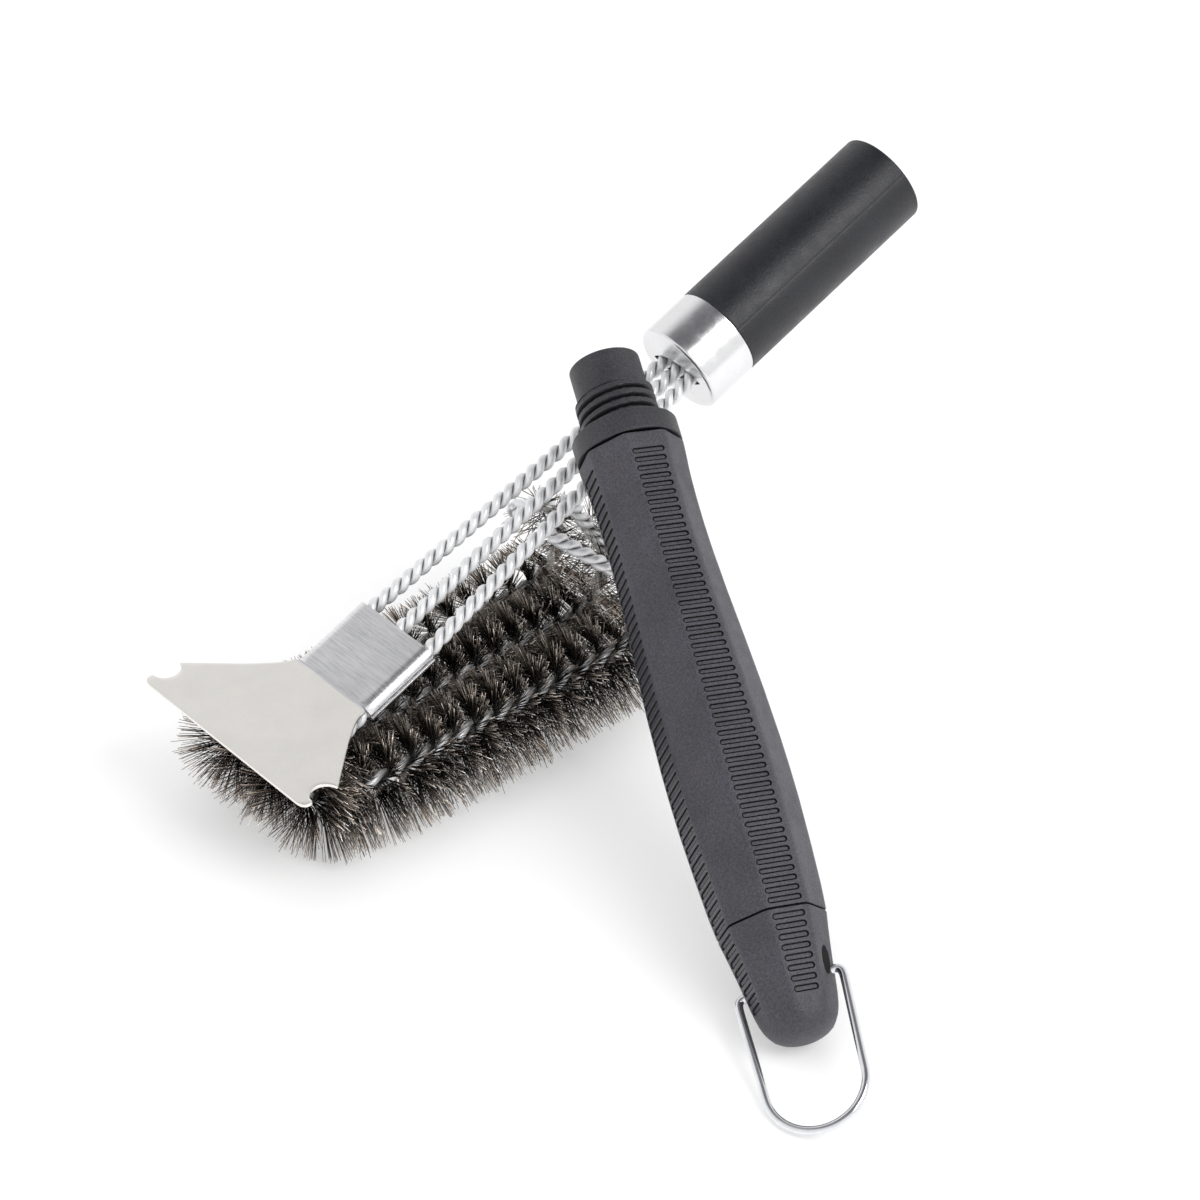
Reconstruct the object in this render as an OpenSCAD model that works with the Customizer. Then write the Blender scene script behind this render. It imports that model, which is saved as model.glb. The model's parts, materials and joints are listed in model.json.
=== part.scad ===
// Grill cleaning brush with a screw-on grip, shown unscrewed: the head unit stands on its
// bristles and the handle unit leans across the wire stems with its tail on the ground.
// Millimetres, +Z up, origin at the bottom centre of the bounding box.

/* [Head unit] */
// Outer radius of the handle tube and of the ferrule
tube_r = 14.8; // [14:0.1:16]
// Length of the plastic handle tube
tube_len = 73; // [60:1:90]
// Length of the polished ferrule
ferrule_len = 17; // [14:1:20]
// Slope of the stems and the tube above the horizontal, in degrees
head_tilt = 21.4; // [20:0.1:23]
// Height of the centre of the ferrule's front face
ferrule_z = 89.7; // [88:0.1:92]
// Spacing of the three wires at the ferrule
wire_gap_ferrule = 5.7; // [5.3:0.1:6]
// Spacing of the three wires at the scraper clamp
wire_gap_clamp = 13; // [12:0.1:13]
// Radius of the envelope of a twisted wire pair
wire_r = 2.4; // [2:0.1:2.4]

/* [Brush] */
// Spacing between the three brush rows
row_gap = 20.5; // [19:0.5:22]
// Bristle length measured from the centre of the wire, and the height of the row
bristle_r = 18.4; // [17:0.1:19]
// Bend radius of the wires at the toe, in front of the clamp
toe_r = 6.1; // [5:0.1:7]
// Bend radius of the wires at the heel, behind the rows
heel_r = 15.5; // [14:0.5:16]
// Position of the start of the heel bend along the head
heel_x = -44; // [-46:1:-42]

/* [Scraper] */
// Thickness of the stainless sheet
sheet_t = 1; // [0.8:0.1:1.2]
// Length of the clamp along the wires
clamp_len = 25; // [22:1:28]
// Half width of the clamp
clamp_half = 16.5; // [16.5:0.1:17.5]
// Half width of the blade at its widest
blade_half = 37; // [34:0.5:40]
// Length of the blade in front of its fold
blade_len = 39; // [36:1:42]

/* [Handle unit] */
// Radius of the smooth tip of the threaded plug
spigot_r = 10.5; // [10:0.1:10.8]
// Radius of the crests of the thread
thread_r = 11.9; // [11.6:0.1:12]
// Pitch of the thread
thread_pitch = 3.05; // [2.9:0.05:3.1]
// Radius of the round flange above the grip
flange_r = 15.6; // [15.2:0.1:15.7]
// Corner radius of the octagonal grip at its widest
grip_r = 17.4; // [17:0.1:18]
// Slope of the leaning handle above the horizontal, in degrees
handle_tilt = 26.8; // [26.6:0.1:27.2]
// Direction of the leaning handle around the vertical, in degrees
handle_turn = 65; // [60:1:70]
// Radius of the wire of the hanging loop
loop_wire_r = 1.25; // [1:0.05:1.5]
// Distance from the loop's pivot to the far end of the loop
loop_len = 45; // [42:0.5:46]

/* [Hidden] */
$fn = 64;

// The head is drawn with X along the stems and the ferrule's face over the origin, and then
// moved so that the origin of the whole object is at the bottom centre of its box.
centre_x = 42.6;
centre_y = 79.1;
tiny = 0.05;

// ---------- head: layout ----------
clamp_s = -116;                 // rear edge of the clamp, along the stems from the ferrule
row_z = bristle_r;
toe_z = row_z + toe_r;
toe_x = (toe_z + toe_r / cos(head_tilt) - ferrule_z) / tan(head_tilt);
toe_gap = 16;                   // spacing of the wires round the toe bend
bristle_up = 15.4;              // how far the bristles reach towards the stems
under_blade_z = 40;
heel_top_z = 58;
heel_z = row_z + heel_r;
tube_bore_r = 12.6;
plug_len = 26;
socket_len = 34;
socket_depth = 30;
socket_bore_r = 11.1;
tube_end = ferrule_len + tube_len;

module head_frame() translate([centre_x, centre_y, 0]) children();

// Local Z runs along the tube, away from the brush
module on_stem_axis() head_frame()
    translate([0, 0, ferrule_z]) rotate([0, 90 - head_tilt, 0]) children();

// ---------- head: tube, socket and ferrule ----------
module handle_tube() color("#26262a") on_stem_axis()
    translate([0, 0, ferrule_len]) difference() {
        rounded_cylinder(tube_r, tube_len, 0.8);
        translate([0, 0, -1]) cylinder(r = tube_bore_r, h = tube_len + 2);
    }

// A cylinder with its far rim rounded
module rounded_cylinder(r, len, edge) rotate_extrude() union() {
    square([r, len - edge]);
    square([r - edge, len]);
    translate([r - edge, len - edge]) circle(edge);
}

module socket_insert() color("#1c1c1f") on_stem_axis()
    translate([0, 0, tube_end - socket_len - 1]) difference() {
        cylinder(r = tube_bore_r - tiny, h = socket_len);
        translate([0, 0, socket_len - socket_depth]) cylinder(r = socket_bore_r, h = socket_depth + 1);
        for (turn = [0:2])
            translate([0, 0, socket_len - 3 - turn * thread_pitch]) thread_groove();
    }

// One female thread groove, as a ring
module thread_groove() rotate_extrude()
    polygon([[socket_bore_r - 1, -1.2], [socket_bore_r, -1.2], [socket_bore_r + 1, -0.5],
             [socket_bore_r + 1, 0.5], [socket_bore_r, 1.2], [socket_bore_r - 1, 1.2]]);

module ferrule() color("#d8d9da") on_stem_axis() difference() {
    rotate_extrude() union() {
        translate([0, 1.2]) square([tube_r, ferrule_len - 1.2]);
        square([tube_r - 1.2, ferrule_len]);
        translate([tube_r - 1.2, 1.2]) circle(1.2);
    }
    translate([0, 0, 1.5]) cylinder(r = 13.4, h = ferrule_len);
    translate([0, 0, -1]) linear_extrude(4) ferrule_slot();
}

// The slot through which the three wires leave, wide and flat with pointed ends
module ferrule_slot() intersection() {
    translate([-10.9, 0]) circle(r = 14.8);
    translate([10.9, 0]) circle(r = 14.8);
}

module wire_anchor() color("#3a3a3d") on_stem_axis() difference() {
    union() {
        translate([0, 0, 1.5 + tiny]) cylinder(r = 13.4 - tiny, h = ferrule_len - 1.5 - tiny);
        translate([0, 0, ferrule_len - 1]) cylinder(r = tube_bore_r - tiny, h = plug_len - ferrule_len + 1);
    }
    for (row = [-1:1])
        translate([0, row * wire_gap_ferrule, 1]) cylinder(r = wire_r + tiny, h = 18);
}

// ---------- head: wires ----------
function stem_point(s) = [s * cos(head_tilt), 0, ferrule_z + s * sin(head_tilt)];
function arc_point(cx, cz, r, a) = [cx + r * cos(a), 0, cz + r * sin(a)];
function moved_y(p, y) = [p[0], y, p[2]];
function blend(a, b, t) = a + (b - a) * t;
function ease(t) = t * t * (3 - 2 * t);

// Sideways position of a wire: close at the ferrule, wider in the clamp, at the row's pitch below
function wire_route(row) = concat(
    [for (s = [15, 1, -30, -70, clamp_s]) moved_y(stem_point(s),
        row * blend(wire_gap_ferrule, wire_gap_clamp, min(1, max(0, (1 - s) / 117))))],
    [moved_y(stem_point(clamp_s - clamp_len), row * wire_gap_clamp)],
    [moved_y(stem_point(clamp_s - clamp_len - 12), row * (wire_gap_clamp + 1))],
    [for (i = [0:10]) moved_y(arc_point(toe_x, toe_z, toe_r, blend(90 + head_tilt, 270, i / 10)),
        row * blend(wire_gap_clamp + 2, toe_gap, i / 10))],
    [for (i = [1:4]) [toe_x + 5 * i, row * blend(toe_gap, row_gap, ease(i / 4)), row_z]],
    [[-90, row * row_gap, row_z]],
    [for (i = [0:11]) moved_y(arc_point(heel_x, heel_z, heel_r, blend(270, 450, i / 11)),
        row * row_gap)],
    [for (i = [1:4]) [heel_x - 3.2 * i, row * blend(row_gap, 8.3, ease(i / 4)),
        blend(heel_z + heel_r, 62, ease(i / 4))]]);

// Half-round section of one strand of a pair; side is +1 for the outer strand
function strand_section(side) = [for (i = [0:6]) [
    side * (tiny + (wire_r - tiny) * sin(i * 30)), (wire_r - tiny) * cos(i * 30) * side]];

function unit(v) = v / norm(v);
function tangent(route, i) = unit(route[min(i + 1, len(route) - 1)] - route[max(i - 1, 0)]);
function across(t) = unit(cross(cross(t, [0, 1, 0]), t));

module sweep(route, section) {
    n = len(section);
    last = len(route) - 1;
    points = [for (i = [0:last], q = section)
        let (t = tangent(route, i), side = across(t), up = cross(t, side))
            route[i] + side * q[0] + up * q[1]];
    sides = [for (i = [0:last - 1], j = [0:n - 1], half = [0, 1])
        half == 0 ? [i * n + j, i * n + (j + 1) % n, (i + 1) * n + (j + 1) % n]
                  : [i * n + j, (i + 1) * n + (j + 1) % n, (i + 1) * n + j]];
    ends = [[for (j = [n - 1:-1:0]) j], [for (j = [0:n - 1]) last * n + j]];
    polyhedron(points, concat(sides, ends), convexity = 10);
}

module wire_strand(row, side) color("#b9bcc0") head_frame()
    sweep(wire_route(row), strand_section(side));

module left_wire_inner() wire_strand(1, -1);
module left_wire_outer() wire_strand(1, 1);
module middle_wire_inner() wire_strand(0, -1);
module middle_wire_outer() wire_strand(0, 1);
module right_wire_inner() wire_strand(-1, 1);
module right_wire_outer() wire_strand(-1, -1);

// ---------- head: bristles ----------
// The solid round one wire that holds its bristles: the straight row, the toe and the heel
module bristle_run(row) color("#4a4340") head_frame() {
    difference() {
        union() {
            translate([toe_x, 0, row_z]) rotate([90, 0, 90])
                linear_extrude(heel_x - toe_x) bristle_section(row, row_gap);
            intersection() {
                translate([toe_x, 0, toe_z]) rotate([90, 0, 0])
                    rotate_extrude(start = 130, angle = 140) bend_section(row, toe_gap, toe_r);
                translate([toe_x - 40, -60, 0]) cube([60, 120, under_blade_z]);
            }
            intersection() {
                translate([heel_x, 0, heel_z]) rotate([90, 0, 0])
                    rotate_extrude(start = 270, angle = 140) bend_section(row, row_gap, heel_r);
                translate([heel_x - 20, -60, 0]) cube([80, 120, heel_top_z]);
            }
        }
        translate([toe_x - 1, row * row_gap, row_z]) rotate([0, 90, 0])
            cylinder(r = wire_r + tiny, h = heel_x - toe_x + 2);
    }
}

// Round brush section: flatter towards the stems, cut at the mid planes between the rows
module bristle_section(row, gap) intersection() {
    translate([row * gap, 0]) circle(bristle_r);
    inner = gap / 2 - 0.15;
    low = row == 1 ? inner : row == 0 ? -inner : -60;
    high = row == -1 ? -inner : row == 0 ? inner : 60;
    translate([low, -bristle_r - 1]) square([high - low, bristle_r + bristle_up + 1]);
}

// The same section stood on the bend's radius, for a turn about the bend's centre
module bend_section(row, gap, bend) right_half()
    translate([bend, 0]) rotate(90) bristle_section(-row, gap);

module right_half() intersection() {
    children();
    translate([0.3, -80]) square([90, 160]);
}

module left_bristles() bristle_run(1);
module middle_bristles() bristle_run(0);
module right_bristles() bristle_run(-1);

// ---------- head: scraper ----------
clamp_out = wire_r + tiny + sheet_t;
fold_x = (clamp_s - clamp_len) * cos(head_tilt) - clamp_out * sin(head_tilt);
fold_z = ferrule_z + (clamp_s - clamp_len) * sin(head_tilt) + clamp_out * cos(head_tilt);

module scraper() color("#c9c6c1") union() {
    on_stem_axis() translate([0, 0, clamp_s - clamp_len]) linear_extrude(clamp_len)
        clamp_section();
    head_frame() translate([fold_x, 0, fold_z - sheet_t]) linear_extrude(sheet_t)
        blade_outline();
}

// The sheet wraps the wires like a flat tube, with its seam along the right side
module clamp_section() difference() {
    rounded_slot(clamp_half, clamp_out);
    rounded_slot(clamp_half - sheet_t, clamp_out - sheet_t);
    translate([0.6, -clamp_half - 1]) square([0.4, sheet_t + 2]);
}

module rounded_slot(half, r) union() {
    square([2 * r, 2 * (half - r)], center = true);
    for (side = [-1, 1]) translate([0, side * (half - r)]) circle(r);
}

// Flat blade with concave flanks and a round bar notch in each front corner
module blade_outline() difference() {
    union() {
        translate([-blade_len, -blade_half + 1.5]) square([10, 2 * blade_half - 3]);
        polygon([[2.2, -clamp_half + 0.5], [2.2, clamp_half - 0.5], [0, clamp_half],
                 for (i = [0:10]) flank_point(i / 10, 1),
                 [-blade_len + 9, blade_half - 1.5], [-blade_len + 9, -blade_half + 1.5],
                 for (i = [10:-1:0]) flank_point(i / 10, -1), [0, -clamp_half]]);
        for (side = [-1, 1]) {
            translate([-blade_len + 1.5, side * (blade_half - 1.5)]) circle(1.5);
            translate([-blade_len + 12, side * (blade_half - 1.2)]) circle(1);
        }
    }
    for (side = [-1, 1]) translate([-blade_len + 6.6, side * (blade_half + 0.4)]) circle(4.2);
}

// Concave flank of the blade, from the clamp's corner (t = 0) to the inner horn (t = 1)
function flank_point(t, side) = [-2 - t * (blade_len - 14),
    side * (clamp_half + (blade_half - clamp_half - 0.3) * pow(t, 1.12))];

// ---------- handle: layout ----------
handle_pos = [-38.1, -21.2, 89.5];
grip_roll = 6.3;                // turns a ribbed face towards the top
grip_top = -1.5;                // positions along the handle, from the middle of the flange
seam_s = -149.1;
cap_end = -182.7;
pivot_s = -166;
pivot_turn = 241;              // direction of the loop's cross hole round the handle
loop_half = 14.5;
loop_bend = 1.5;
loop_drop = 14.4;               // angle between the loop and the handle's own axis
core_r = 9;

// Local Z runs along the handle towards the thread, local X to a ribbed face
module on_handle_axis() head_frame() translate(handle_pos)
    rotate([0, 90 - handle_tilt, handle_turn]) rotate([0, 0, grip_roll]) children();

// Corner radius of the octagonal grip at position s along the handle
grip_profile = [[grip_top, 0.902], [-6, 0.885], [-12, 0.856], [-20, 0.836], [-30, 0.83], [-42, 0.843],
    [-56, 0.885], [-70, 0.935], [-88, 0.982], [-106, 1], [-120, 0.985], [-134, 0.95], [-144, 0.92],
    [seam_s, 0.88]];
cap_profile = [[seam_s - 0.3, 0.875], [-154, 0.819], [-161.5, 0.758], [-169, 0.7], [-175, 0.64],
    [-178.5, 0.57], [-180.6, 0.475], [-182, 0.33], [cap_end, 0.15]];

// Ring of the octagon, with faces to +X and +Y; ribbed and smooth faces take turns
function octagon(r) = [for (k = [0:7]) [r * cos(45 * k - 22.5), r * sin(45 * k - 22.5)]];

module loft(profile) {
    rings = len(profile);
    points = [for (ring = profile, q = octagon(ring[1] * grip_r)) [q[0], q[1], ring[0]]];
    sides = [for (i = [0:rings - 2], j = [0:7])
        [i * 8 + j, i * 8 + (j + 1) % 8, (i + 1) * 8 + (j + 1) % 8, (i + 1) * 8 + j]];
    ends = [[for (j = [7:-1:0]) j], [for (j = [0:7]) (rings - 1) * 8 + j]];
    polyhedron(points, concat(sides, ends), convexity = 4);
}

// ---------- handle: pieces ----------
module threaded_plug() color("#232326") on_handle_axis() union() {
    rotate_extrude() polygon([[0, -30], [core_r - 2.1, -30], [core_r - 2.1, -6], [12.5, -6],
        [12.5, -1.4], [flange_r - 0.4, -1.4], [flange_r, -1], [flange_r, 4.9],
        [flange_r - 0.5, 5.4], [thread_r - 0.4, 5.9], [10.4, 7.2], [10.4, 17.2],
        [spigot_r, 17.9], [spigot_r, 27.4], [spigot_r - 1.2, 28.5], [0, 28.5]]);
    for (turn = [0:2]) translate([0, 0, 9.8 + turn * thread_pitch]) thread_ridge();
}

// One male thread ridge, as a ring
module thread_ridge() rotate_extrude()
    polygon([[9, -1.1], [10.4, -1.1], [thread_r, -0.4], [thread_r, 0.4], [10.4, 1.1], [9, 1.1]]);

module core_tube() color("#303034") on_handle_axis() translate([0, 0, seam_s + 0.5]) difference() {
    cylinder(r = core_r, h = -7 - seam_s);
    translate([0, 0, -1]) cylinder(r = core_r - 2, h = -seam_s);
}

module grip() color("#2b2a2e") on_handle_axis() difference() {
    loft(grip_profile);
    translate([0, 0, seam_s - 1]) cylinder(r = core_r + tiny, h = 160);
    translate([0, 0, -6.1]) cylinder(r = 12.5 + tiny, h = 10);
}

module tail_cap() color("#2b2a2e") on_handle_axis() difference() {
    union() {
        loft(cap_profile);
        translate([0, 0, seam_s - 2]) cylinder(r = core_r - 2 - tiny, h = 14);
    }
    translate([0, 0, pivot_s]) rotate([0, 90, pivot_turn]) translate([0, 0, -30])
        cylinder(r = loop_wire_r + 0.06, h = 60);
    translate([0, 0, seam_s - 2.1]) cylinder(r = 1.6, h = 20);
    translate([0, 0, seam_s - 2.1 - 7]) cylinder(r = 1.6, h = 7.2);
    translate([0, 0, seam_s + 9]) cylinder(r = 3.2, h = 4);
}

// Screw that holds the tail cap to its spigot, driven from inside the core tube
module cap_screw() color("#8d8f92") on_handle_axis() translate([0, 0, seam_s - 8]) union() {
    cylinder(r = 1.55, h = 17.2);
    translate([0, 0, 17.1]) cylinder(r1 = 2.9, r2 = 2.5, h = 2.2);
}

module hanging_loop() color("#cfd2d5") on_handle_axis()
    translate([0, 0, pivot_s]) rotate([0, 0, pivot_turn]) rotate([-loop_drop, 0, 0]) loop_wire();

// The loop lies in its own XZ plane, pivot along X, closed end towards -Z
module loop_wire() {
    arm_in = 3.5;
    for (side = [0, 1]) mirror([side, 0, 0]) {
        translate([arm_in, 0, 0]) rotate([0, 90, 0])
            cylinder(r = loop_wire_r, h = loop_half - loop_bend - arm_in);
        translate([loop_half - loop_bend, 0, -loop_bend]) rotate([90, 0, 0])
            rotate_extrude(angle = 90) translate([loop_bend, 0]) circle(loop_wire_r);
        translate([loop_half, 0, loop_half - loop_len])
            cylinder(r = loop_wire_r, h = loop_len - loop_half - loop_bend);
    }
    translate([0, 0, loop_half - loop_len]) rotate([90, 0, 0])
        rotate_extrude(start = 180, angle = 180) translate([loop_half, 0]) circle(loop_wire_r);
}

handle_tube();
socket_insert();
ferrule();
wire_anchor();
left_wire_inner();
left_wire_outer();
middle_wire_inner();
middle_wire_outer();
right_wire_inner();
right_wire_outer();
left_bristles();
middle_bristles();
right_bristles();
scraper();
threaded_plug();
core_tube();
grip();
tail_cap();
cap_screw();
hanging_loop();
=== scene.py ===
import json
import math

import bmesh
import bpy
import numpy as np
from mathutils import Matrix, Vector


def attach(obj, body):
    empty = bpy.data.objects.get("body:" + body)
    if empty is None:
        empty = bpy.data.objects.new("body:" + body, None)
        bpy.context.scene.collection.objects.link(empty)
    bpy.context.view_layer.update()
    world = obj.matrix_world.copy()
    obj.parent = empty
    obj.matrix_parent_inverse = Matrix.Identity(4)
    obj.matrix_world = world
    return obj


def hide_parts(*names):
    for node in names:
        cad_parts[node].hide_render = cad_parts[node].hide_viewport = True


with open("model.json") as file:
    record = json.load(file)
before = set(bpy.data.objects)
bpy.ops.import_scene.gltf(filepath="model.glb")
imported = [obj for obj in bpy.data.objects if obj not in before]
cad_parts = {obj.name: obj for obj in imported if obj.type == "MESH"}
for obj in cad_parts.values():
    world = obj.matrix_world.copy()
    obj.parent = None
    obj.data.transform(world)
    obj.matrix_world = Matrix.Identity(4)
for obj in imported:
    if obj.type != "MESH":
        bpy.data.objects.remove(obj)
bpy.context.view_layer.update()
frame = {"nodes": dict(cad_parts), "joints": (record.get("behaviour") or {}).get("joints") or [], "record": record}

MM = 0.001

# ---------- places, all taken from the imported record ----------
mounts = {m["name"]: m for m in frame["record"]["mounts"]}
swing = next(j for j in frame["joints"] if j["name"] == "loop_swing")


def unit(v):
    v = np.asarray(v, float)
    return v / np.linalg.norm(v, axis=-1, keepdims=True)


class Place:
    """Turns millimetres in a local frame into metres in the row frame."""

    def __init__(self, origin, x, y, z):
        self.origin = np.asarray(origin, float)
        self.turn = np.array([unit(x), unit(y), unit(z)])

    def __call__(self, points):
        return self.origin + (np.asarray(points, float) * MM) @ self.turn


SOCKET_S, SPIGOT_S = 73.0, 22.65
stem_dir = unit(mounts["tube_socket"]["axis"])
face = np.array(mounts["tube_socket"]["pos_m"]) - stem_dir * SOCKET_S * MM
head = Place((face[0], face[1], 0), (1, 0, 0), (0, 1, 0), (0, 0, 1))
stem = Place(face, np.cross((0, 1, 0), stem_dir), (0, 1, 0), stem_dir)

grip_dir = unit(mounts["plug_spigot"]["axis"])
grip_zero = np.array(mounts["plug_spigot"]["pos_m"]) - grip_dir * SPIGOT_S * MM
down = unit(grip_dir * grip_dir[2] - np.array([0, 0, 1]))
roll = math.radians(6.3)
grip_x = down * math.cos(roll) + np.cross(grip_dir, down) * math.sin(roll)
handle = Place(grip_zero, grip_x, np.cross(grip_dir, grip_x), grip_dir)

pivot = np.array(swing["pos_m"])
across = unit(swing["axis"])
LOOP_DROP = math.radians(14.4)
loop_out = -grip_dir * math.cos(LOOP_DROP) - np.cross(grip_dir, across) * math.sin(LOOP_DROP)
loop = Place(pivot, across, np.cross(loop_out, across), loop_out)

FACE_Z = face[2] / MM
TILT = math.asin(stem_dir[2])


# ---------- mesh helpers ----------
def grid(points, wrap_j=False):
    """(flat points, quads) of a rows by columns array of points; wrap_j closes the columns round."""
    n_i, n_j = points.shape[:2]
    i = np.arange(n_i - 1)[:, None]
    j = np.arange(n_j if wrap_j else n_j - 1)[None, :]
    i2, j2 = i + 1, (j + 1) % n_j
    quads = np.stack([i * n_j + j, i * n_j + j2, i2 * n_j + j2, i2 * n_j + j], -1)
    return points.reshape(-1, 3), quads.reshape(-1, 4).tolist()


def lathe(profile, segments=120, bump=None):
    """Points of a (radius, height) profile turned about local Z; bump changes the radius by angle."""
    profile = np.array(profile, float)
    angle = np.linspace(0, 2 * math.pi, segments, endpoint=False)
    radius, height = np.meshgrid(profile[:, 0], angle, indexing="ij")[0], profile[:, 1:2]
    if bump is not None:
        radius = radius + bump(angle[None, :], height)
    points = np.stack([radius * np.cos(angle), radius * np.sin(angle),
                       np.broadcast_to(height, radius.shape)], -1)
    return grid(points, wrap_j=True)


def rounded(profile, radius, steps=4):
    """The same open profile with its inner corners rounded off."""
    out = [profile[0]]
    for a, b, c in zip(profile, profile[1:], profile[2:]):
        a, b, c = np.array(a, float), np.array(b, float), np.array(c, float)
        cut = min(radius, 0.45 * np.linalg.norm(a - b), 0.45 * np.linalg.norm(c - b))
        p, q = b + unit(a - b) * cut, b + unit(c - b) * cut
        for t in np.linspace(0, 1, steps + 1):
            out.append(tuple((1 - t) ** 2 * p + 2 * t * (1 - t) * b + t * t * q))
    out.append(profile[-1])
    return out


def make(name, parts, place, material, body, replaces=(), sharp=40, weld=0.0):
    """One piece from (points, faces) parts: placed, shaded, and riding on its CAD body."""
    points, faces, start = [], [], 0
    for p, f in parts:
        points.append(np.asarray(p, float))
        faces += [[start + k for k in one] for one in f]
        start += len(p)
    points = place(np.concatenate(points))
    mesh = bpy.data.meshes.new(name)
    mesh.from_pydata(points.tolist(), [], faces)
    bm = bmesh.new()
    bm.from_mesh(mesh)
    if weld:
        bmesh.ops.remove_doubles(bm, verts=bm.verts, dist=weld * MM)
    holes = [e for e in bm.edges if e.is_boundary]
    if holes:
        bmesh.ops.holes_fill(bm, edges=holes)
    bmesh.ops.recalc_face_normals(bm, faces=bm.faces)
    bm.to_mesh(mesh)
    bm.free()
    mesh.shade_smooth()
    mesh.set_sharp_from_angle(angle=math.radians(sharp))
    mesh.materials.append(material)
    obj = bpy.data.objects.new(name, mesh)
    bpy.context.scene.collection.objects.link(obj)
    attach(obj, body)
    if replaces:
        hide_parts(*replaces)
    return obj


def transported(path):
    """Tangents, normals and binormals along a polyline, with no twist of their own."""
    t = unit(np.gradient(path, axis=0))
    n = np.zeros_like(path)
    first = np.cross(np.cross(t[0], (0, 1, 0)), t[0])
    n[0] = unit(first)
    for k in range(1, len(path)):
        n[k] = unit(n[k - 1] - t[k] * (n[k - 1] @ t[k]))
    return t, n, np.cross(t, n)


def resample(path, step):
    length = np.concatenate([[0], np.cumsum(np.linalg.norm(np.diff(path, axis=0), axis=1))])
    at = np.linspace(0, length[-1], max(2, int(round(length[-1] / step)) + 1))
    return np.stack([np.interp(at, length, path[:, k]) for k in range(3)], -1), at


def smoothed(path, width):
    """Rounds a finely sampled polyline off over about that many samples; the ends stay."""
    kernel = np.hanning(2 * width + 3)[1:-1]
    kernel /= kernel.sum()
    padded = np.concatenate([2 * path[0] - path[width:0:-1], path, 2 * path[-1] - path[-2:-width - 2:-1]])
    return np.stack([np.convolve(padded[:, k], kernel, "valid") for k in range(3)], -1)


def tube(path, radius, sides=12):
    """A round tube along a path, with softened ends."""
    t, n, b = transported(path)
    a = np.linspace(0, 2 * math.pi, sides, endpoint=False)
    ring = n[:, None] * np.cos(a)[None, :, None] + b[:, None] * np.sin(a)[None, :, None]
    first = path[0] + ring[:1] * radius * 0.75 - t[0] * radius * 0.2
    last = path[-1] + ring[-1:] * radius * 0.75 + t[-1] * radius * 0.2
    return grid(np.concatenate([first, path[:, None] + ring * radius, last]), wrap_j=True)


# ---------- materials ----------
def new_material(name):
    m = bpy.data.materials.new(name)
    m.use_nodes = True
    nodes, links = m.node_tree.nodes, m.node_tree.links
    return m, nodes, links, nodes["Principled BSDF"]


def object_coords(nodes, links, scale=(1, 1, 1)):
    """Coordinates in metres, fixed to the piece."""
    source = nodes.new("ShaderNodeTexCoord")
    mapping = nodes.new("ShaderNodeMapping")
    mapping.inputs["Scale"].default_value = scale
    links.new(source.outputs["Object"], mapping.inputs["Vector"])
    return mapping.outputs["Vector"]


def noise(nodes, links, vector, scale, detail=3, roughness=0.55):
    n = nodes.new("ShaderNodeTexNoise")
    n.inputs["Scale"].default_value = scale
    n.inputs["Detail"].default_value = detail
    n.inputs["Roughness"].default_value = roughness
    links.new(vector, n.inputs["Vector"])
    return n.outputs["Fac"]


def ramp(nodes, links, value, stops):
    r = nodes.new("ShaderNodeValToRGB")
    while len(r.color_ramp.elements) < len(stops):
        r.color_ramp.elements.new(0.5)
    for element, (position, colour) in zip(r.color_ramp.elements, stops):
        element.position = position
        element.color = (*colour, 1)
    links.new(value, r.inputs["Fac"])
    return r.outputs["Color"]


def value_range(nodes, links, value, low, high):
    r = nodes.new("ShaderNodeMapRange")
    r.inputs["From Min"].default_value, r.inputs["From Max"].default_value = 0.3, 0.7
    r.inputs["To Min"].default_value, r.inputs["To Max"].default_value = low, high
    links.new(value, r.inputs["Value"])
    return r.outputs["Result"]


def bump(nodes, links, shader, height, distance, strength):
    b = nodes.new("ShaderNodeBump")
    b.inputs["Distance"].default_value = distance
    b.inputs["Strength"].default_value = strength
    links.new(height, b.inputs["Height"])
    links.new(b.outputs["Normal"], shader.inputs["Normal"])


def painted_crevice_shade(nodes, links, colour, reach, deepest, low=0.35, high=0.85):
    """Paints shade into a colour: multiplies it down where the surface faces another surface closer than reach."""
    gap = nodes.new("ShaderNodeAmbientOcclusion")
    gap.samples = 6
    gap.inputs["Distance"].default_value = reach
    mix = nodes.new("ShaderNodeMix")
    mix.data_type, mix.blend_type = "RGBA", "MULTIPLY"
    mix.inputs["Factor"].default_value = 1.0
    links.new(colour, mix.inputs["A"])
    shade = ramp(nodes, links, gap.outputs["AO"], [(low, (deepest,) * 3), (high, (1, 1, 1))])
    links.new(shade, mix.inputs["B"])
    return mix.outputs["Result"]


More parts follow.
